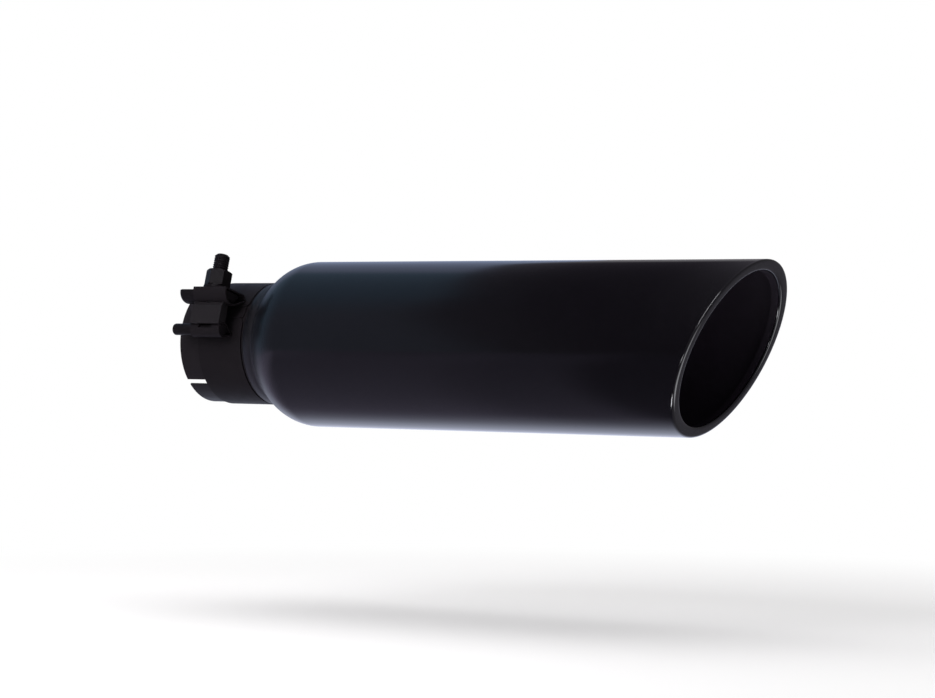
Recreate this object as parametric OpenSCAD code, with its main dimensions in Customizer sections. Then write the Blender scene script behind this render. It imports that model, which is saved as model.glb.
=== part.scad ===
// Angle-cut exhaust tip with a rolled lip and a single-bolt band clamp.
// X runs along the pipe from the inlet to the outlet, Z is up, and the clamp bolt is on the -Y side.
// The origin is on the centre line at the inlet end.

/* [Barrel] */
// Outer diameter of the barrel
barrel_diameter = 127; // [118:1:140]
// Thickness of the barrel's wall
barrel_wall = 1.5; // [1.2:0.1:2]
// Length on the centre line, from the inlet end to the crest of the lip
centre_length = 460; // [380:5:540]
// Slope of the cut across the outlet, in degrees, with the long side on top
cut_angle = 25.4; // [0:0.2:35]
// Outer radius of the spun shoulder where it meets the straight barrel
shoulder_radius = 42; // [30:1:55]
// Radius of the hollow between the neck and the shoulder
neck_fillet = 6; // [3:0.5:10]
// Length of the straight neck that slips over the sleeve
neck_length = 6.4; // [4:0.2:12]

/* [Rolled lip] */
// How far the roll reaches in from the outside of the barrel
lip_depth = 7.8; // [6:0.2:12]
// Straight hem inside the barrel behind the roll
lip_hem = 5; // [2:0.5:12]

/* [Inlet sleeve] */
// Outer diameter of the tailpipe that slips into the sleeve
tailpipe_diameter = 88.9; // [84:0.1:92]
// Radial room between the tailpipe and the sleeve
slip_clearance = 0.2; // [0.1:0.05:0.4]
// Thickness of the sleeve's wall
sleeve_wall = 1.35; // [1.1:0.05:1.8]
// Bare end of the sleeve before the clamp band
sleeve_lead = 18.5; // [14:0.5:26]
// How far the sleeve runs on inside the neck
sleeve_insert = 7.5; // [5:0.5:14]
// Number of squeeze slots
slot_count = 4; // [2:1:6]
// Width of a squeeze slot
slot_width = 5; // [3:0.5:8]
// Length of a squeeze slot from the inlet end
slot_length = 45; // [25:1:52]
// Angle of the first slot below the -Y side
slot_clocking = 41; // [30:1:60]

/* [Neck weld] */
// Leg of the weld bead between neck and sleeve
weld_leg = 1.7; // [1.2:0.1:2.4]

/* [Clamp band] */
// Width of the band along the pipe
band_width = 41; // [32:1:46]
// Thickness of the band
band_thickness = 1.2; // [0.9:0.1:1.6]
// Space between the band and the neck weld
band_to_weld = 0.5; // [0.3:0.1:3]
// Angle from the -Y side up to the foot of the bolt line
clamp_clocking = 16; // [0:1:60]
// Opening between the ends of the band, in degrees
gap_angle = 12; // [8:1:16]
// Angle from the bolt's foot to the middle of the opening
gap_lead = 15; // [12:1:18]
// Radius of the corners of the band's ends
band_corner = 5; // [2:0.5:8]

/* [Clamp straps and bolt] */
// Thickness of the straps folded round the cross pieces
strap_thickness = 1.3; // [1:0.1:1.6]
// Width of the folded straps
strap_width = 28; // [24:1:32]
// How much further the upper strap reaches towards the barrel
strap_extra = 3.5; // [0:0.5:4]
// Bolt line's distance out from the band
bolt_standoff = 11.2; // [10:0.2:13]
// Bolt's place along the pipe from the inlet end
bolt_station = 37.5; // [35:0.5:40]
// Diameter of the bolt
bolt_diameter = 12; // [10:0.5:12.5]
// Length of thread that stands past the nut
bolt_tail = 13.3; // [4:0.1:16]
// Diameter of the cross pin that heads the bolt
pin_diameter = 9; // [8:0.1:10]
// Cross pin's place along the bolt below its foot
pin_drop = 5.75; // [4:0.25:7]
// Reach of the cross pin towards the inlet
pin_reach_inlet = 33; // [24:0.5:35]
// Reach of the cross pin towards the barrel
pin_reach_barrel = 14.3; // [13:0.1:20]
// Radius of the half-round bar under the nut
bar_radius = 9.2; // [8.5:0.1:9.8]
// Reach of the half-round bar towards the inlet
bar_reach_inlet = 29.7; // [22:0.1:34]
// Reach of the half-round bar towards the barrel
bar_reach_barrel = 17.2; // [14.5:0.1:20]
// Rounding of the half-round bar's ends
bar_edge = 4; // [1:0.5:5]
// Height of the spacer block along the bolt
block_height = 13; // [10:0.2:20]
// Front of the spacer block, out from the bolt line
block_front = 7.6; // [7.2:0.1:9]
// Back of the spacer block, in from the bolt line
block_back = 0.5; // [0:0.1:1]
// How far the block's front hangs down over the lower eye
block_skirt = 3.2; // [0:0.2:4]
// Bevel along the block's upper front edge
block_bevel = 2; // [0.5:0.1:3]
// Nut size across the flats
nut_flats = 17.6; // [16:0.1:19]
// Height of the nut
nut_height = 12.8; // [8:0.2:18]
// Turn of the nut about the bolt, in degrees
nut_turn = 28; // [0:1:59]
// Diameter of the washer
washer_diameter = 20.6; // [19:0.2:22]
// Thickness of the washer
washer_thickness = 2.3; // [1.2:0.1:3]

/* [Fits] */
// Gap between pieces that seat on each other
seat = 0.15; // [0.1:0.05:0.3]
// Radial room round the bolt in the pieces it passes through
bolt_clearance = 0.3; // [0.2:0.05:0.5]

/* [Hidden] */
$fn = 96;
far = 400;
lip_facets = 80;
roll_steps = 12;

barrel_r = barrel_diameter / 2;
sleeve_in = tailpipe_diameter / 2 + slip_clearance;
sleeve_out = sleeve_in + sleeve_wall;
neck_in = sleeve_out + seat;
neck_out = neck_in + barrel_wall;

// Stations along the pipe, each one following from the last
band_end = sleeve_lead + band_width;
weld_start = band_end + band_to_weld;
neck_start = weld_start + weld_leg;
fillet_start = neck_start + neck_length;
sleeve_end = neck_start + sleeve_insert;

// The shoulder: a hollow arc and a round arc that meet on one tangent
arc_rise = neck_out + neck_fillet - barrel_r + shoulder_radius;
arc_run = sqrt(pow(neck_fillet + shoulder_radius, 2) - arc_rise * arc_rise);
arc_turn = atan2(arc_run, arc_rise);
shoulder_end = fillet_start + arc_run;

// The lip: a half-circle roll in the wall, sheared along the pipe by the cut
roll_r = lip_depth / 2;
roll_start = centre_length - roll_r;
root_bite = 1;
root_skin = 0.03;

// The clamp, drawn looking along the pipe: first value outwards along the bolt's foot, second along
// the bolt
band_in = sleeve_out + seat;
band_out = band_in + band_thickness;
bolt_r = bolt_diameter / 2;
hole_r = bolt_r + bolt_clearance;
bolt_line = band_out + bolt_standoff;
pin_r = pin_diameter / 2;
pin_at = [bolt_line, -pin_drop];
pin_eye = pin_r + seat;
block_low = pin_at[1] + pin_eye + strap_thickness + seat;
block_high = block_low + block_height;
bar_eye = bar_radius + seat;
bar_at = [bolt_line, block_high + seat + strap_thickness + bar_eye];
bar_top = bar_at[1] + seat;
strap_top = bar_top + strap_thickness;
washer_low = strap_top + seat;
nut_low = washer_low + washer_thickness + seat;
nut_high = nut_low + nut_height;
bolt_end = nut_high + bolt_tail;
band_mid = band_out - band_thickness / 2;
low_root = band_mid * [cos(-9), sin(-9)];
high_root = band_mid * [cos(27), sin(27)];

// Points of an arc about a centre, from one angle to another
function arc(c, r, from, to, n) =
    [for (i = [0:n]) let (a = from + (to - from) * i / n) c + r * [cos(a), sin(a)]];

// Turns a profile drawn as [distance along the pipe, radius] about the X axis
module spun(points)
    rotate([0, 90, 0]) rotate_extrude() polygon([for (p = points) [p[1], p[0]]]);

// Pushes a shape drawn in the clamp's own plane along the pipe
module across(start, width)
    translate([start, 0, 0]) rotate([90, 0, 90]) linear_extrude(height = width)
        rotate(-clamp_clocking) mirror([1, 0]) children();

// Places a shape that stands on Z so that it stands along the bolt
module on_bolt(low)
    rotate([-clamp_clocking, 0, 0]) translate([bolt_station, -bolt_line, low]) rotate(180) children();

// Half space above a height on the bolt line
module above(height)
    translate([-far, height]) square([2 * far, far]);

function shoulder_line(out) = let (
        hollow = neck_fillet + (out ? 0 : barrel_wall),
        round = shoulder_radius - (out ? 0 : barrel_wall),
        hollow_c = [fillet_start, neck_out + neck_fillet],
        round_c = [shoulder_end, barrel_r - shoulder_radius])
    concat(arc(hollow_c, hollow, -90, -90 + arc_turn, 24), arc(round_c, round, 90 + arc_turn, 90, 32));

module barrel_body()
    difference() {
        spun(concat(
            [[neck_start, neck_in], [neck_start, neck_out]],
            shoulder_line(true),
            [[centre_length + barrel_r, barrel_r], [centre_length + barrel_r, barrel_r - barrel_wall]],
            [for (i = [57:-1:0]) shoulder_line(false)[i]]));
        translate([roll_start, 0, 0]) rotate([0, cut_angle, 0])
            translate([0, -far / 2, -far / 2]) cube(far);
    }

// The roll as [distance past its start, radius], once round its section
lip_section = let (
        top = barrel_r - root_skin,
        under = barrel_r - barrel_wall + 2 * root_skin,
        foot = barrel_r - lip_depth)
    concat(
        [[-root_bite, top]],
        arc([0, barrel_r - roll_r], roll_r - root_skin, 90, -90, roll_steps),
        [[-lip_hem, foot + root_skin], [-lip_hem, foot + barrel_wall]],
        arc([0, barrel_r - roll_r], roll_r - barrel_wall + 2 * root_skin, -90, 90, roll_steps),
        [[-root_bite, under]]);

module rolled_lip() {
    n = len(lip_section);
    points = [for (k = [0:lip_facets - 1]) let (a = 360 * k / lip_facets)
        for (p = lip_section) let (z = p[1] * cos(a))
            [roll_start + p[0] + z * tan(cut_angle), p[1] * sin(a), z]];
    faces = [for (k = [0:lip_facets - 1]) let (m = (k + 1) % lip_facets)
        for (i = [0:n - 1]) let (j = (i + 1) % n)
            each [[k * n + i, m * n + i, k * n + j], [k * n + j, m * n + i, m * n + j]]];
    polyhedron(points, faces, convexity = 6);
}

module barrel()
    color([0.10, 0.10, 0.11]) {
        union() {
            barrel_body();
            rolled_lip();
        }
    }

module inlet_sleeve()
    color([0.22, 0.22, 0.24]) difference() {
        spun([[0, sleeve_in], [0, sleeve_out], [sleeve_end, sleeve_out], [sleeve_end, sleeve_in]]);
        for (i = [0:slot_count - 1])
            rotate([slot_clocking + 360 * i / slot_count, 0, 0]) {
                translate([-1, -sleeve_out - 1, -slot_width / 2])
                    cube([slot_length - slot_width / 2 + 1, sleeve_wall + 5, slot_width]);
                translate([slot_length - slot_width / 2, -sleeve_in + 4, 0]) rotate([90, 0, 0])
                    cylinder(d = slot_width, h = sleeve_wall + 5, $fn = 32);
            }
    }

module neck_weld()
    color([0.16, 0.16, 0.17])
        spun(concat([[neck_start, sleeve_out]],
            arc([neck_start, sleeve_out], weld_leg, 180, 90, 10)));

// Outline of a strap that leaves the band at a root, wraps an eye and comes back to the root
function drop(c, r, root) = let (
        v = root - c, facing = atan2(v[1], v[0]), open = acos(r / norm(v)))
    concat([root], arc(c, r, facing + open, facing + 360 - open, 48));

// The same outline drawn smaller, so that the strap between the two has an even thickness
function drop_inside(c, r, root) = drop(c, r, c + (root - c) * r / (r + strap_thickness));

module lower_eye()
    difference() {
        polygon(drop(pin_at, pin_eye + strap_thickness, low_root));
        polygon(drop_inside(pin_at, pin_eye, low_root));
        circle(band_in + seat);
    }

module upper_eye()
    difference() {
        polygon(drop(bar_at, bar_eye + strap_thickness, high_root));
        above(strap_top);
        difference() {
            polygon(drop_inside(bar_at, bar_eye, high_root));
            above(bar_top);
        }
        circle(band_in + seat);
    }

// The opening between the band's ends, seen square on: half its outline, as [along, across].
// Its rounded corners run a little past the band's edges, so that they cut clean through them.
half_gap = band_out * sin(gap_angle / 2);
corner_in = 0.94 * band_corner;
gap_edge = concat(
    arc([sleeve_lead + corner_in, half_gap + band_corner], band_corner, 180, 270, 8),
    arc([band_end - corner_in, half_gap + band_corner], band_corner, 270, 360, 8));

// Pushes an outline drawn as [along, across] outwards through the band at the middle of its opening
module through_gap(points)
    rotate([-clamp_clocking - gap_lead, 0, 0]) translate([0, -band_in + 3, 0]) rotate([90, 0, 0])
        linear_extrude(height = band_thickness + 6) polygon(points);

module band_ring()
    difference() {
        spun([[sleeve_lead, band_in], [sleeve_lead, band_out], [band_end, band_out], [band_end, band_in]]);
        through_gap(concat(gap_edge, [for (i = [len(gap_edge) - 1:-1:0]) [gap_edge[i][0], -gap_edge[i][1]]]));
    }

module clamp_band()
    color([0.20, 0.20, 0.21]) difference() {
        union() {
            band_ring();
            across(bolt_station - strap_width / 2, strap_width) lower_eye();
            across(bolt_station - strap_width / 2, strap_width + strap_extra) upper_eye();
        }
        // The slot punched in the lower strap lets the bolt out of the eye
        across(bolt_station - hole_r, 2 * hole_r)
            translate([pin_at[0] - bar_eye, pin_at[1]])
                square([2 * bar_eye, block_low + 1 - pin_at[1]]);
        on_bolt(block_high - 1) cylinder(r = hole_r, h = washer_low - block_high + 2);
    }

module gap_bridge()
    color([0.30, 0.30, 0.32]) intersection() {
        spun([[sleeve_lead, band_in], [sleeve_lead, band_out - seat],
              [band_end, band_out - seat], [band_end, band_in]]);
        through_gap([[sleeve_lead + 1, seat - half_gap], [band_end - 1, seat - half_gap],
                     [band_end - 1, half_gap - seat], [sleeve_lead + 1, half_gap - seat]]);
    }

// A round bar along X with rounded end edges
module bar_round(r, start, end, edge)
    spun(concat([[start, 0]], arc([start + edge, r - edge], edge, 180, 90, 8),
        arc([end - edge, r - edge], edge, 90, 0, 8), [[end, 0]]));

module t_bolt()
    color([0.26, 0.26, 0.28]) union() {
        rotate([-clamp_clocking, 0, 0]) translate([bolt_station, -pin_at[0], pin_at[1]])
            bar_round(pin_r, -pin_reach_inlet, pin_reach_barrel, 1.5);
        on_bolt(pin_at[1]) {
            length = bolt_end - pin_at[1];
            waist = pin_r - 2 * seat;
            rotate_extrude() polygon([[0, 0], [waist, 0], [waist, pin_eye],
                [bolt_r, pin_eye + bolt_r - waist], [bolt_r, length - 1.8], [bolt_r - 1.8, length],
                [0, length]]);
        }
    }

module half_round_bar()
    color([0.24, 0.24, 0.25]) difference() {
        rotate([-clamp_clocking, 0, 0]) translate([bolt_station, -bar_at[0], bar_at[1]]) intersection() {
            bar_round(bar_radius, -bar_reach_inlet, bar_reach_barrel, bar_edge);
            translate([-far / 2, -far / 2, -far]) cube(far);
        }
        on_bolt(bar_at[1] - bar_radius - 1) cylinder(r = hole_r, h = bar_radius + 2);
    }

// A saddle between the two eyes. It sits in front of the bolt, and its back is open.
module spacer_block() {
    front = bolt_line + block_front;
    back = bolt_line - block_back;
    top = block_high + 1.4;
    color([0.30, 0.30, 0.31]) difference() {
        across(bolt_station - strap_width / 2, strap_width) difference() {
            polygon([[back, block_low - block_skirt], [front, block_low - block_skirt],
                [front, top - block_bevel - 1], [front - block_bevel, top], [back, top]]);
            translate(pin_at) circle(pin_eye + strap_thickness + seat);
            translate(bar_at) circle(bar_eye + strap_thickness + seat);
        }
        on_bolt(block_low - block_skirt - 1) cylinder(r = hole_r, h = block_height + block_skirt + 4);
    }
}

module clamp_washer()
    color([0.34, 0.34, 0.35]) on_bolt(washer_low) difference() {
        cylinder(d = washer_diameter, h = washer_thickness);
        translate([0, 0, -1]) cylinder(r = hole_r, h = washer_thickness + 2);
    }

module clamp_nut()
    color([0.28, 0.28, 0.30]) on_bolt(nut_low) difference() {
        intersection() {
            rotate(nut_turn) cylinder(r = nut_flats / 2 / cos(30), h = nut_height, $fn = 6);
            rotate_extrude() polygon([[0, 0], [nut_flats / 2 - 0.2, 0], [nut_flats / 2 / cos(30) + 0.1, 0.9],
                [nut_flats / 2 / cos(30) + 0.1, nut_height - 0.9], [nut_flats / 2 - 0.2, nut_height],
                [0, nut_height]]);
        }
        translate([0, 0, -1]) cylinder(r = bolt_r + seat, h = nut_height + 2);
    }

barrel();
inlet_sleeve();
neck_weld();
clamp_band();
gap_bridge();
t_bolt();
half_round_bar();
spacer_block();
clamp_washer();
clamp_nut();
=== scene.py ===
# %% [markdown]
# # An exhaust tip in gloss black
# The part is a straight round barrel, spun down to a neck at one end and cut at a slant at the
# other, where the edge is rolled inwards. A slotted sleeve and a band clamp hold it on a tailpipe.
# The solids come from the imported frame. This notebook gives them edges, thread, weld and finish.

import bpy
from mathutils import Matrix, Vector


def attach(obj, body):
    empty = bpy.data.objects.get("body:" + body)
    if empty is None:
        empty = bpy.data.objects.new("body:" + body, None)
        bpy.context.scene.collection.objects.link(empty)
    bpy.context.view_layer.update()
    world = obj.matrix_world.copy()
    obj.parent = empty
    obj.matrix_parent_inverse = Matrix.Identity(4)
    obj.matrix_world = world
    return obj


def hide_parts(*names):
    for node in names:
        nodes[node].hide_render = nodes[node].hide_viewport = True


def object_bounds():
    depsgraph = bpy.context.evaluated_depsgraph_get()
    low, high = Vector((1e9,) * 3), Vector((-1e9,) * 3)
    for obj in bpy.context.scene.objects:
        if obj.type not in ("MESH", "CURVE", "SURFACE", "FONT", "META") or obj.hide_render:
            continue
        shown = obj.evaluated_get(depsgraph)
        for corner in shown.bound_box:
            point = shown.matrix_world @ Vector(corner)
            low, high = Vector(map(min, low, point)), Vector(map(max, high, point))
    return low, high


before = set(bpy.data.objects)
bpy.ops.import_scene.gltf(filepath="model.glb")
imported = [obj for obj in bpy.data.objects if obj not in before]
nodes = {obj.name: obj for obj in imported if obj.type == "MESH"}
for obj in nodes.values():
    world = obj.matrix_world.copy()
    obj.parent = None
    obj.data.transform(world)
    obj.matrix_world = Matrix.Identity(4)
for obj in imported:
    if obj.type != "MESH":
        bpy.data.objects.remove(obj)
cad_box = [list(corner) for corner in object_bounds()]

import math

import bmesh
import bpy
import numpy as np
from mathutils import Matrix, Vector

MM = 0.001
print("pieces in the frame:", ", ".join(sorted(nodes)))

# %% [markdown]
# ## Camera
# The photograph looks at the tip from the outlet side, almost level with its centre line and from
# more than two metres away, so the barrel hardly narrows towards the inlet. The camera could be
# turned by hand until it fits. Here it is built from a measured direction, distance and slight
# roll, and its lens from the width of the picture, so that render and photograph can be compared
# point by point.

# %% Camera
BARREL_R = 63.5
TURN, LIFT, TILT = 0.580, 0.005, 0.009
DISTANCE = 35.289 * BARREL_R * MM
LENS_PIXELS, PICTURE_PIXELS, SENSOR = 3003, 935, 36
target = Vector((3.726 * BARREL_R * MM, 0, -0.035 * BARREL_R * MM))
back = Vector((math.sin(TURN) * math.cos(LIFT), -math.cos(TURN) * math.cos(LIFT), math.sin(LIFT)))
side = (-back).cross(Vector((0, 0, 1))).normalized()
upward = side.cross(-back)
right = math.cos(TILT) * side + math.sin(TILT) * upward
top = -math.sin(TILT) * side + math.cos(TILT) * upward
axes = Matrix((right, top, back)).transposed().to_4x4()

camera = bpy.data.objects.new("camera", bpy.data.cameras.new("camera"))
bpy.context.scene.collection.objects.link(camera)
camera.matrix_world = Matrix.Translation(target + back * DISTANCE) @ axes
camera.data.sensor_width = SENSOR
camera.data.lens = LENS_PIXELS / PICTURE_PIXELS * SENSOR
camera.data.clip_end = 50
bpy.context.scene.camera = camera
bpy.context.scene.view_settings.view_transform = "Standard"
print(f"camera {DISTANCE:.2f} m away, lens {camera.data.lens:.0f} mm")

# %% [markdown]
# ## Helpers for surfaces
# Most new pieces here are a closed outline carried round the pipe. Such a surface is a grid: one
# parameter runs along the outline and the other round the axis. Working the whole grid out as numpy
# arrays keeps the shape's formula in one line and is fast.

# %% From a grid of points to a mesh
def grid_piece(name, points, wrap_rows=False, wrap_columns=True):
    """Makes a mesh object of an array of points [row, column, xyz]. Each cell becomes one face, and
    wrapping joins the last row or column to the first."""
    rows, columns = points.shape[:2]
    index = np.arange(rows * columns).reshape(rows, columns)
    if wrap_rows:
        index = np.vstack([index, index[:1]])
    if wrap_columns:
        index = np.hstack([index, index[:, :1]])
    faces = np.stack([index[:-1, :-1], index[:-1, 1:], index[1:, 1:], index[1:, :-1]], -1)
    mesh = bpy.data.meshes.new(name)
    mesh.from_pydata(points.reshape(-1, 3).tolist(), [], faces.reshape(-1, 4).tolist())
    mesh.validate()
    piece = bpy.data.objects.new(name, mesh)
    bpy.context.scene.collection.objects.link(piece)
    return piece


def tidy(piece):
    """Merges doubled points and makes every face point outwards."""
    work = bmesh.new()
    work.from_mesh(piece.data)
    bmesh.ops.remove_doubles(work, verts=work.verts, dist=1e-7)
    bmesh.ops.recalc_face_normals(work, faces=work.faces)
    work.to_mesh(piece.data)
    work.free()
    piece.data.shade_smooth()
    return piece


# %% Arcs and shading
def arc(centre, radius, start, end, count):
    """Points on a circle: centre plus radius times (cosine, sine) of evenly spaced angles."""
    angle = np.radians(np.linspace(start, end, count + 1))
    return np.array(centre) + radius * np.stack([np.cos(angle), np.sin(angle)], -1)


def smooth_by_angle(piece, degrees):
    """Marks edges sharper than an angle, so that the rest shades smooth."""
    piece.data.shade_smooth()
    piece.data.set_sharp_from_angle(angle=math.radians(degrees))


# %% [markdown]
# ## The barrel
# The real barrel is one tube: its neck and shoulder are spun, and the slanted outlet is rolled in.
# In the solid the roll is faceted, so the glossy skin is drawn afresh: the wall's outline, outside
# and inside, is carried round the axis. Towards the outlet each point also slides along the pipe by
# its height times the slope of the cut. Sliding along its own axis leaves a cylinder true, so the
# wall stays round while its end is slanted. A circle swept along the slanted edge would be simpler,
# but it would pull the wall off its cylinder.
#
# The roll has a flat face between two tight corners, which catch the light as thin lines. A
# superellipse gives that shape in one formula: it is an ellipse whose sides are pressed flat. It
# keeps within a millimetre of the solid's round roll.

# %% The wall's outline
# Sizes in millimetres, as in the solids. The shoulder's end follows from its two arcs, which meet
# without a corner.
WALL, NECK_OUT, CREST = 1.5, 47.65, 460.0
SLOPE = math.tan(math.radians(25.4))
NECK_START, FILLET_START, NECK_BREAK = 61.7, 68.1, 0.4
HOLLOW, SHOULDER, ROLL, HEM = 6.0, 42.0, 3.9, 5.0
LIP_X, LIP_HALF, SQUARE, LIP_STEPS = CREST - 3.2, 2.4, 3.5, 40
HEM_END = CREST - ROLL - HEM
rise = NECK_OUT + HOLLOW - BARREL_R + SHOULDER
run = math.sqrt((HOLLOW + SHOULDER) ** 2 - rise ** 2)
bend = math.degrees(math.atan2(run, rise))
SHOULDER_END = FILLET_START + run


def wall_line(inset):
    """Neck, hollow arc and shoulder arc of one side of the wall, moved in by inset. The outside has
    the edge of the neck's end broken."""
    neck = [[NECK_START, NECK_OUT - inset]]
    if not inset:
        neck = [[NECK_START, NECK_OUT - NECK_BREAK], [NECK_START + NECK_BREAK, NECK_OUT]]
    hollow = arc((FILLET_START, NECK_OUT + HOLLOW), HOLLOW + inset, -90, -90 + bend, 16)
    shoulder = arc((SHOULDER_END, BARREL_R - SHOULDER), SHOULDER - inset, 90 + bend, 90, 36)
    return np.vstack([neck, hollow, shoulder[1:]])


def straight_line(stations, radius):
    """Points at the given stations along the pipe, all at one radius."""
    return np.stack([stations, np.full(len(stations), radius)], -1)


def lip_line(inset, start, end, count):
    """Half a superellipse: its half axes, less the inset, times the cosine and sine, each raised to
    the power of two over SQUARE with its sign kept."""
    circle = arc((0, 0), 1, start, end, count)
    square = np.sign(circle) * np.abs(circle) ** (2 / SQUARE)
    return np.array((LIP_X, BARREL_R - ROLL)) + square * (LIP_HALF - inset, ROLL - inset)


# The last station lies close to the lip, so that the wall's shading stays straight up to it.
stations = np.append(np.linspace(SHOULDER_END, CREST - ROLL, 10)[1:-1], LIP_X - 0.3)
outline = np.vstack([
    wall_line(0),
    straight_line(stations, BARREL_R),
    lip_line(0, 90, -90, LIP_STEPS),
    [[HEM_END, BARREL_R - 2 * ROLL], [HEM_END, BARREL_R - 2 * ROLL + WALL]],
    lip_line(WALL, -90, 90, 16),
    straight_line(stations[::-1], BARREL_R - WALL),
    wall_line(WALL)[::-1]])
INNER_FROM = len(wall_line(0)) + len(stations) + LIP_STEPS
print(f"outline of the wall: {len(outline)} points, shoulder ends at {SHOULDER_END:.1f} mm")

# %% Carry the outline round
AROUND = 256


def slanted_revolve(outline, around):
    """x is the outline's own distance plus height times slope, blended in along the straight wall;
    y and z are the outline's radius times sine and cosine of the angle round the axis."""
    angle = np.linspace(0, 2 * np.pi, around, endpoint=False)
    along, radius = outline[:, :1], outline[:, 1:]
    share = np.clip((along - SHOULDER_END) / (HEM_END - SHOULDER_END), 0, 1)
    height = radius * np.cos(angle)
    return np.stack([along + share * SLOPE * height, radius * np.sin(angle), height], -1) * MM


barrel = tidy(grid_piece("barrel_skin", slanted_revolve(outline, AROUND), wrap_rows=True))
smooth_by_angle(barrel, 50)
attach(barrel, "root")
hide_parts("barrel")
print("barrel skin:", len(barrel.data.polygons), "faces")

# %% [markdown]
# ## Softened edges on the pressed and machined pieces
# No real edge is perfectly sharp, and the small rounding is what catches the light. It could be
# modelled face by face, but a Bevel modifier does it in one step and is easy to change. A CAD node
# stays as it is, so each piece is a copy: its loose triangles are merged, flat areas are joined
# again, and a narrow Bevel goes round what is left of the edges. The bar under the nut has the
# widest one. Its fine facets would cut that back, so there the bevel isn't clamped.

# %% Copy a node with rounded edges
SOFT_ANGLE, WIDE = math.radians(28), 1


def softened(node, width, segments=2):
    """A copy of a CAD node with merged faces and a narrow bevel of that width in millimetres."""
    mesh = nodes[node].data.copy()
    piece = bpy.data.objects.new(node + "_soft", mesh)
    bpy.context.scene.collection.objects.link(piece)
    work = bmesh.new()
    work.from_mesh(mesh)
    bmesh.ops.remove_doubles(work, verts=work.verts, dist=2e-6)
    bmesh.ops.dissolve_limit(work, angle_limit=math.radians(0.4), verts=work.verts,
                             edges=work.edges)
    work.to_mesh(mesh)
    work.free()
    mesh.shade_smooth()
    mesh.set_sharp_from_angle(angle=SOFT_ANGLE)
    bevel = piece.modifiers.new("edges", "BEVEL")
    bevel.width = width * MM
    bevel.segments = segments
    bevel.limit_method = "ANGLE"
    bevel.angle_limit = SOFT_ANGLE
    bevel.harden_normals = True
    bevel.use_clamp_overlap = width < WIDE
    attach(piece, "root")
    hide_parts(node)
    print(f"{node}: edges rounded by {width} mm")
    return piece


sleeve = softened("inlet_sleeve", 0.25)
band = softened("clamp_band", 0.3)
bridge = softened("gap_bridge", 0.2)
bar = softened("half_round_bar", 1.1, 3)
block = softened("spacer_block", 0.6)
washer = softened("clamp_washer", 0.3)
nut = softened("clamp_nut", 0.35)

# %% [markdown]
# ## The bolt and its thread
# The clamp is drawn shut by one bolt, whose head is a cross pin that lies in the lower eye of the
# band. Its solid is plain, so the thread is drawn here. It could be cut out of a solid along a
# helix, but that is slow. A thread is a surface of two parameters too: the angle round the bolt and
# the distance along it. The radius rises and falls once in each pitch, and the pattern is turned by
# the angle, which makes the helix. The pin is a plain revolve with rounded ends.

# %% Threaded shank
# The clamp is turned round the pipe by CLOCK. Heights run along the bolt, in millimetres, from its
# point nearest the pipe's axis.
CLOCK = math.radians(16)
BOLT_LINE, BOLT_X, BOLT_R, BOLT_END = 58.55, 37.5, 6.0, 54.2
WAIST, PITCH, THREAD_DEPTH, THREAD_FROM = 4.2, 1.75, 0.5, 18
PIN_Z, PIN_R, PIN_FROM, PIN_TO, PIN_EDGE = -5.75, 4.5, -33, 14.3, 1.5
SHANK_FROM = PIN_Z + 4.3
along_bolt = np.array([0, math.sin(CLOCK), math.cos(CLOCK)])
out_from_pipe = np.array([0, -math.cos(CLOCK), math.sin(CLOCK)])
bolt_foot = np.array([BOLT_X, 0, 0]) + BOLT_LINE * out_from_pipe


def threaded_rod(low, high, radius, around=40):
    """Radius is the rod's own, drawn in to the waist above the pin, less the thread's depth times a
    triangle wave of distance over pitch minus angle over a full turn, from THREAD_FROM upwards. The
    last rows are the rounded tip."""
    tip = np.array([(high - 1.2, radius - 0.7), (high - 0.5, radius - 1.3), (high, radius - 2.0),
                    (high, 0.0)])
    up = np.arange(low, high - 1.2, PITCH / 8)[:, None]
    angle = np.linspace(0, 2 * np.pi, around, endpoint=False)[None, :]
    wave = np.abs(2 * ((up / PITCH - angle / (2 * np.pi)) % 1.0) - 1)
    depth = THREAD_DEPTH * np.clip((up - THREAD_FROM) / PITCH, 0, 1)
    body = np.clip(WAIST + up + 1.1, WAIST, radius)
    rod = body - depth * np.clip(1.15 * wave - 0.08, 0, 1)
    rod = np.vstack([np.zeros((1, around)), rod, tip[:, 1:] + np.zeros((1, around))])
    up = np.vstack([[[low]], up, tip[:, :1]])
    sideways = (rod * np.cos(angle))[..., None] * np.array([1, 0, 0])
    outwards = (rod * np.sin(angle))[..., None] * out_from_pipe
    return (bolt_foot + up[..., None] * along_bolt + sideways + outwards) * MM


shank = tidy(grid_piece("bolt_shank", threaded_rod(SHANK_FROM, BOLT_END, BOLT_R)))
smooth_by_angle(shank, 60)
print("thread:", len(shank.data.polygons), "faces")


# %% Cross pin
def round_bar(centre, radius, start, end, edge, around=48):
    """Profile of a bar along X with quarter-circle edges, carried round its own axis."""
    line = np.vstack([[[start, 0]], arc((start + edge, radius - edge), edge, 180, 90, 6),
                      arc((end - edge, radius - edge), edge, 90, 0, 6), [[end, 0]]])
    angle = np.linspace(0, 2 * np.pi, around, endpoint=False)
    return np.stack([centre[0] + line[:, :1] + 0 * angle,
                     centre[1] + line[:, 1:] * np.cos(angle),
                     centre[2] + line[:, 1:] * np.sin(angle)], -1) * MM


pin_middle = bolt_foot + PIN_Z * along_bolt
pin = tidy(grid_piece("cross_pin", round_bar(pin_middle, PIN_R, PIN_FROM, PIN_TO, PIN_EDGE)))
smooth_by_angle(pin, 50)
for piece in (shank, pin):
    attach(piece, "root")
    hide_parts("t_bolt")
print(f"pin: {PIN_TO - PIN_FROM:.1f} mm long")

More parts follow.
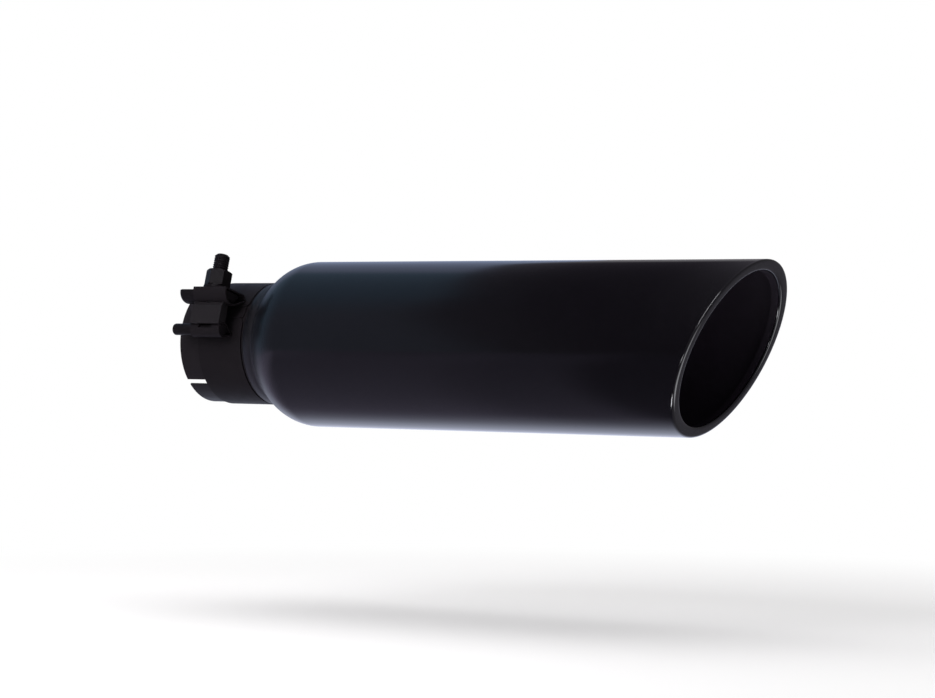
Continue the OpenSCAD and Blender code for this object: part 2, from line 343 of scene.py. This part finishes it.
# %% [markdown]
# ## The weld
# A bead runs round the sleeve where the neck ends. A welder lays it down in small overlapping
# pools, so its height ripples round the pipe. A bump in the material would leave its outline
# smooth, so the ripple is in the mesh: the bead is a quarter-round section whose size follows it.

# %% Rippled weld bead
WELD_START, SLEEVE_OUT, WELD_LEG = 60.0, 46.0, 1.7


def weld_ring(start, sleeve_radius, leg, pools=96, around=768):
    """Section angle from the sleeve's side up to the neck's face; the leg shrinks a little between
    pools by the square of a saw wave of the angle round the pipe."""
    angle = np.linspace(0, 2 * np.pi, around, endpoint=False)[None, :]
    section = np.radians(np.linspace(180, 90, 11))[:, None]
    wander = 0.10 * np.sin(5 * angle) + 0.06 * np.sin(13 * angle + 1)
    pool = (pools * (angle + 0.02 * wander) / (2 * np.pi) + 0.3 * np.cos(section)) % 1
    size = leg * (0.95 - 0.13 * (2 * pool - 1) ** 2 + 0.03 * wander)
    x = start + leg + size * np.cos(section)
    radius = sleeve_radius + size * np.sin(section)
    x = np.vstack([x, np.full((1, around), start + leg)])
    radius = np.vstack([radius, np.full((1, around), sleeve_radius)])
    return np.stack([x, radius * np.sin(angle), radius * np.cos(angle)], -1) * MM


bead = weld_ring(WELD_START, SLEEVE_OUT, WELD_LEG)
weld = tidy(grid_piece("weld_bead", bead, wrap_rows=True))
smooth_by_angle(weld, 60)
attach(weld, "root")
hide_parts("neck_weld")
print("weld bead:", len(weld.data.polygons), "faces")

# %% [markdown]
# ## Shader maths as plain expressions
# A material is a graph of nodes. It could be wired by hand in the node editor, but its maths is
# easier to read and change as an expression. A small class wraps a socket, and its operators add
# the Math nodes.

# %% A socket that can be added and multiplied
class Term:
    """Wraps a node's output, so that its sums and products make the Math nodes. Without a socket it
    only starts a chain of nodes in a tree."""

    def __init__(self, tree, socket=None):
        self.tree, self.socket = tree, socket

    def feed(self, node, name):
        """Links this output to one input of a node."""
        self.tree.links.new(self.socket, node.inputs[name])

    def node(self, kind, inputs=None, out=0, **settings):
        """Adds a node of that type, makes its settings, then fills or links its inputs."""
        made = self.tree.nodes.new(kind)
        for key, value in settings.items():
            setattr(made, key, value)
        for name, value in (inputs or {}).items():
            if isinstance(value, Term):
                value.feed(made, name)
            else:
                made.inputs[name].default_value = value
        return Term(self.tree, made.outputs[out])

    def math(self, operation, *values):
        """Adds a Math node for that operation on numbers or other outputs."""
        return self.node("ShaderNodeMath", dict(enumerate(values)), operation=operation)

    def smooth(self, low, high):
        """Runs from 0 at low to 1 at high along an even S-curve."""
        return self.node("ShaderNodeMapRange", {0: self, 1: low, 2: high},
                         interpolation_type="SMOOTHSTEP")

    def __add__(self, other):
        return self.math("ADD", self, other)

    def __radd__(self, other):
        return self.math("ADD", other, self)

    def __sub__(self, other):
        return self.math("SUBTRACT", self, other)

    def __rsub__(self, other):
        return self.math("SUBTRACT", other, self)

    def __mul__(self, other):
        return self.math("MULTIPLY", self, other)

    def __rmul__(self, other):
        return self.math("MULTIPLY", other, self)


def mixed_colours(factor, first, second):
    """Mixes two colours, or two colour sockets, by a factor."""
    return factor.node("ShaderNodeMix", {0: factor, 6: first, 7: second}, out=2, data_type="RGBA")


# %% [markdown]
# ## Finishes
# The whole part is black, and its pieces differ in gloss. The barrel has a deep gloss: nearly
# black, and even but for a trace of orange peel, with the hollow of its neck left rougher. Inside
# it is dull, and its colour is painted light and shade: darker at the lip, where more light falls,
# and lighter with depth, where the shade is deep. The sleeve, band and clamp pieces are satin, each
# with a grain of its own. Each finish could be a graph of its own, but one function makes them all,
# so that they stay a family. Besides the painted light inside, only what varies over the surface
# comes from noise. Every constant is set on the shader itself.

# %% One function for every coating
# The first pair bounds the painted light inside the barrel, in metres along the pipe.
PAINTED_LIGHT_FROM, PAINTED_LIGHT_TO = 0.46, 0.33
SPUN_FROM, SPUN_TO = 0.108, 0.068


def coating(name, dark, light, gloss, rough, rough_change, grain, relief, spun=0.0, painted_light_inward=0.0):
    """Colour between dark and light by slow noise, roughness by a second noise, and a fine bump.
    The gloss scales the mirror reflection, spun adds roughness along the hollow of the neck, and
    the last argument is the share of the colour that is painted light and shade: darker at the lip
    and lighter with the depth behind it."""
    material = bpy.data.materials.new(name)
    material.use_nodes = True
    tree = material.node_tree
    shader = tree.nodes["Principled BSDF"]
    shader.inputs["IOR"].default_value = 1.45
    shader.inputs["Specular IOR Level"].default_value = gloss
    place = Term(tree).node("ShaderNodeTexCoord", out="Object")
    slow, middle, fine = (
        place.node("ShaderNodeTexNoise", {"Vector": place, "Scale": scale, "Detail": detail})
        for scale, detail in ((38.0, 4.0), (grain / 9, 4.0), (grain, 3.0)))
    amount = slow * 0.8 + middle * 0.2
    roughness = rough + (middle - 0.5) * rough_change + (fine - 0.5) * (rough_change * 0.6)
    # Painted light and shade: the colour is darker at the lip and lighter deeper inside the barrel.
    if painted_light_inward:
        depth = place.node("ShaderNodeSeparateXYZ", {0: place}).smooth(PAINTED_LIGHT_FROM, PAINTED_LIGHT_TO)
        amount = amount * (1 - painted_light_inward) + depth * painted_light_inward
    if spun:
        along = place.node("ShaderNodeSeparateXYZ", {0: place})
        roughness = roughness + along.smooth(SPUN_FROM, SPUN_TO) * spun
    mixed_colours(amount, (*dark, 1), (*light, 1)).feed(shader, "Base Color")
    roughness.feed(shader, "Roughness")
    height = fine * 0.7 + middle * 0.3
    bumps = place.node("ShaderNodeBump", {"Strength": relief, "Distance": 0.0001, "Height": height})
    bumps.feed(shader, "Normal")
    return material


# %% Six blacks
GLOSS = coating("gloss_black", (0.0018, 0.0015, 0.0024), (0.0028, 0.0024, 0.0036), gloss=0.5,
                rough=0.11, rough_change=0.04, grain=500, relief=0.04, spun=0.42)
# Inside the barrel the colour is painted darker at the lip and lighter deep inside: painted light
# and shade.
DULL_WITH_PAINTED_LIGHT = coating("dull_black_painted_light", (0.0105, 0.0082, 0.0124), (0.0520, 0.0400, 0.0600), gloss=0.1,
               rough=0.60, rough_change=0.10, grain=400, relief=0.10, painted_light_inward=0.85)
SATIN = coating("satin_black", (0.0078, 0.0064, 0.0077), (0.0104, 0.0087, 0.0103), gloss=0.06,
                rough=0.52, rough_change=0.16, grain=1500, relief=0.30)
SHELL = coating("worn_black", (0.0092, 0.0077, 0.0090), (0.0125, 0.0105, 0.0123), gloss=0.08,
                rough=0.46, rough_change=0.16, grain=1500, relief=0.30)
CAST = coating("grained_black", (0.0108, 0.0094, 0.0108), (0.0140, 0.0124, 0.0140), gloss=0.08,
               rough=0.46, rough_change=0.16, grain=1100, relief=0.45)
METAL = coating("oiled_black", (0.0052, 0.0044, 0.0052), (0.0078, 0.0066, 0.0078), gloss=0.05,
                rough=0.40, rough_change=0.16, grain=1800, relief=0.25)
dress = {GLOSS: [barrel], SATIN: [band, bridge], SHELL: [sleeve, weld], CAST: [block],
         METAL: [bar, washer, nut, shank, pin]}
for finish, pieces in dress.items():
    for piece in pieces:
        piece.data.materials.clear()
        piece.data.materials.append(finish)
    print(finish.name, "on", len(pieces), "pieces")

# %% The coating is dull inside the barrel
# The inside faces take the dull coat, whose colour holds painted light and shade.
barrel.data.materials.append(DULL_WITH_PAINTED_LIGHT)
face_row = np.arange(len(barrel.data.polygons)) // AROUND
inside = ((face_row >= INNER_FROM) & (face_row < len(outline) - 1)).astype(np.int32)
barrel.data.polygons.foreach_set("material_index", inside)
print("dull faces:", int(inside.sum()))

# %% [markdown]
# ## Studio
# The tip is held at its sleeve, so the floor lies a little below it. The floor is a real surface
# near the part and keeps its shadow. Further out it fades into the white of the background. A
# stronger lamp could make the floor white too, but it would also light the part. Light Path tells
# rays that look at the scene from rays that light it, so only what is looked at turns white.

# %% What looks white
def looking(tree):
    """One for rays that look at the scene, straight, in a mirror or through glass, else zero."""
    straight, mirrored, through = (Term(tree).node("ShaderNodeLightPath", out=name) for name in (
        "Is Camera Ray", "Is Glossy Ray", "Is Transmission Ray"))
    return straight.math("MAXIMUM", straight, mirrored.math("MAXIMUM", mirrored, through))


def mixed(tree, factor, first, second, output):
    """Mixes two shaders by a factor into the tree's output."""
    factor.node("ShaderNodeMixShader", {0: factor, 1: first, 2: second}).feed(output, "Surface")


def glow(tree, kind, colour, strength):
    """An emission or background shader of one colour."""
    return Term(tree).node(kind, {"Color": (*colour, 1), "Strength": strength})


# %% Floor
FLOOR_Z = cad_box[0][2] - 0.14
MIDDLE = (0.24, 0.0)
FLOOR_REACH, FADE_FROM, FADE_TO = 6, 0.28, 0.80


def ring_surface(name, reach, height):
    """Points at reach times (cosine, sine) round the middle of the part, each ring at its own
    height."""
    angle = np.linspace(0, 2 * np.pi, 96, endpoint=False)
    reach, height = np.array(reach)[:, None], np.array(height)[:, None]
    return tidy(grid_piece(name, np.stack([MIDDLE[0] + reach * np.cos(angle),
                                           MIDDLE[1] + reach * np.sin(angle),
                                           height + 0 * angle], -1)))


floor = ring_surface("floor", np.linspace(0, FLOOR_REACH, 24), np.full(24, FLOOR_Z))
paper = bpy.data.materials.new("white_paper")
paper.use_nodes = True
tree = paper.node_tree
matt = tree.nodes["Principled BSDF"]
matt.inputs["Base Color"].default_value = (0.96, 0.96, 0.96, 1)
matt.inputs["Roughness"].default_value = 0.9
matt.inputs["Specular IOR Level"].default_value = 0.0
place = Term(tree).node("ShaderNodeTexCoord", out="Object")
reach = place.node("ShaderNodeVectorMath", {0: place, 1: (*MIDDLE, FLOOR_Z)}, out=1,
                   operation="DISTANCE")
mixed(tree, looking(tree) * reach.smooth(FADE_FROM, FADE_TO), Term(tree, matt.outputs[0]),
      glow(tree, "ShaderNodeEmission", (1, 1, 1), 1.0), tree.nodes["Material Output"])
floor.data.materials.append(paper)
print(f"floor at {FLOOR_Z * 1000:.0f} mm")

# %% World
WORLD_LIGHT = 0.25
world = bpy.data.worlds.new("studio")
bpy.context.scene.world = world
world.use_nodes = True
tree = world.node_tree
mixed(tree, looking(tree), glow(tree, "ShaderNodeBackground", (1.0, 0.99, 1.0), WORLD_LIGHT),
      glow(tree, "ShaderNodeBackground", (1, 1, 1), 1.0), tree.nodes["World Output"])
print("world lights at", WORLD_LIGHT)

# %% [markdown]
# ## Cards
# A gloss black thing looks black only if something dark is mirrored in it, so a photographer stands
# cards round it. Here a tent and a sheet over the floor do that, and only mirror reflections see
# them, so what they show is painted reflection: they glow, though they are no lamps. The left half
# of the barrel mirrors a bluish card, its right half a black one, and the slanted lip looks past
# both to a grey one. Under the part the sheet is grey, a painted shade of the floor. A few small
# bright areas, like strip lights, draw the streaks along the corners of the lip as painted
# highlights. Real cards could be many planes with many materials. Two surfaces painted by position
# are easier to line up with what mirrors them.

# %% Mirror-only glow
# The colour of the small glowing areas on the cards, which draw painted highlights.
BRIGHT = (18, 18, 19, 1)


def between(value, low, high, soft):
    """One from low to high, with soft ends."""
    return value.smooth(low - soft, low) * value.smooth(high + soft, high)


def mirror_card(piece, paint):
    """Gives the piece an emission of the painted colour and shows it to mirror rays alone."""
    material = bpy.data.materials.new(piece.name + "_paint")
    material.use_nodes = True
    tree = material.node_tree
    place = Term(tree).node("ShaderNodeTexCoord", out="Object")
    x, y, z = (place.node("ShaderNodeSeparateXYZ", {0: place}, out=axis) for axis in range(3))
    light = place.node("ShaderNodeEmission", {"Color": paint(x, y, z)})
    light.feed(tree.nodes["Material Output"], "Surface")
    piece.data.materials.append(material)
    for ray in ("camera", "diffuse", "transmission", "shadow", "volume_scatter"):
        setattr(piece, "visible_" + ray, False)
    print(piece.name, "seen in mirrors only")


# %% Tent
TENT_REACH = 1.7


def tent_paint(x, y, z):
    """Painted reflections, seen in mirrors only: bluish on the left of an upright edge with a
    window of glow at the back, black next to it with a pale rim low at the back, grey on the right
    with one strip of glow that draws painted highlights on the lip."""
    front = y.smooth(-0.3, -1.1)
    low = z.smooth(0.9, 0.5) * (1 - front)
    edge = low * 0.065 - front * 0.055 - 0.572
    half = front * 0.03 + 0.012
    left = x.smooth(edge + half, edge - half)
    # Painted reflection: a bluish glow at the back, which mirrors show as a window.
    painted_window_glow = y.smooth(0.42, 0.68)
    cool = mixed_colours(front, (0.20, 0.31, 0.44, 1), (0.23, 0.26, 0.34, 1))
    cool = mixed_colours(painted_window_glow, cool, (0.37, 0.44, 0.64, 1))
    dark = mixed_colours(x.smooth(-0.45, -0.56), (0.050, 0.044, 0.057, 1),
                         (0.100, 0.095, 0.115, 1))
    dark = mixed_colours(x.smooth(-0.36, -0.16), dark, (0.28, 0.265, 0.31, 1))
    rim = z.smooth(0.80, 0.62) * y.smooth(0.8, 1.0)
    dark = mixed_colours(rim, dark, (0.26, 0.25, 0.27, 1))
    # Painted highlight: a bright strip of glow that the lip's corners mirror as streaks.
    painted_glint_strip = between(x, 0.20, 0.42, 0.03) * between(z, 0.55, 1.30, 0.08) * y.smooth(-0.3, -0.5)
    return mixed_colours(painted_glint_strip, mixed_colours(left, dark, cool), BRIGHT)


rise_angle = np.linspace(0, np.pi / 2, 24)
tent = ring_surface("card_tent", TENT_REACH * np.cos(rise_angle),
                    FLOOR_Z + 0.005 + TENT_REACH * np.sin(rise_angle))
mirror_card(tent, tent_paint)


# %% Sheet over the floor
def sheet_paint(x, y, z):
    """Painted reflections of the floor, seen in mirrors only: grey in front of and under the part
    as painted shade, dimmer to the right, white behind it, and grey beyond the lip, with two small
    spots below the lip and a low bar of light beyond it as painted highlights."""
    across = x - y * 0.5
    # Painted shade: as the barrel mirrors it, the floor is grey in front of and under the part.
    dimmer = across.smooth(0.15, 0.26) * 0.30 + across.smooth(0.305, 0.365) * 0.45
    level = (1 + across.smooth(0.0, -0.35) * 1.3) * (1 - dimmer)
    level = level * (1 + y.smooth(-0.5, 0.03) * 0.25) * (1 - y.smooth(-0.6, -1.5) * 0.35)
    grey = mixed_colours(level * 0.45, (0, 0, 0, 1), (0.66, 0.61, 0.86, 1))
    sheet = mixed_colours(y.smooth(-0.025, 0.135), grey, (0.94, 1.0, 1.25, 1))
    sheet = mixed_colours(x.smooth(0.40, 0.46), sheet, (0.25, 0.24, 0.28, 1))
    # Painted highlights: small glowing areas that the lip mirrors as streaks.
    spots = (between(x, 0.385, 0.43, 0.01) * between(y, -0.115, -0.075, 0.01)
             + between(x, 0.32, 0.45, 0.02) * between(y, -0.62, -0.50, 0.02))
    sheet = mixed_colours(spots, sheet, BRIGHT)
    low_bar = between(x, 0.57, 0.80, 0.03) * between(y, -0.02, 0.18, 0.04)
    return mixed_colours(low_bar, sheet, (3.5, 3.5, 3.7, 1))


sheet = ring_surface("card_sheet", np.linspace(0, TENT_REACH, 3), np.full(3, FLOOR_Z + 0.004))
mirror_card(sheet, sheet_paint)

# %% [markdown]
# ## Lamps
# Two broad area lamps, one above and one in front to the left, light the satin pieces softly and
# make the soft shadow on the floor. A sun lamp would be simpler, but its shadow would be hard. The
# gloss skin mirrors the cards alone: a lamp seen in it would be one more bright patch, so the lamps
# are hidden from mirror rays.

# %% Lamps
def soft_lamp(name, place, aim, size, watts, colour):
    """A square area lamp that lights the part but isn't mirrored in it."""
    lamp = bpy.data.lights.new(name, "AREA")
    lamp.shape, lamp.size, lamp.size_y = "RECTANGLE", size, size
    lamp.energy, lamp.color = watts, colour
    thing = bpy.data.objects.new(name, lamp)
    bpy.context.scene.collection.objects.link(thing)
    thing.location = place
    thing.rotation_euler = (Vector(aim) - Vector(place)).to_track_quat("-Z", "Y").to_euler()
    thing.visible_camera = False
    thing.visible_glossy = False
    print(f"{name} lamp: {size} m wide, {watts} W")


soft_lamp("overhead", (0.1, 0.1, 1.4), (0.24, 0, 0), 2.0, 20, (1.0, 0.99, 0.99))
soft_lamp("front", (-0.25, -1.35, 0.75), (0.15, 0, 0), 1.2, 20, (1.0, 0.99, 1.0))
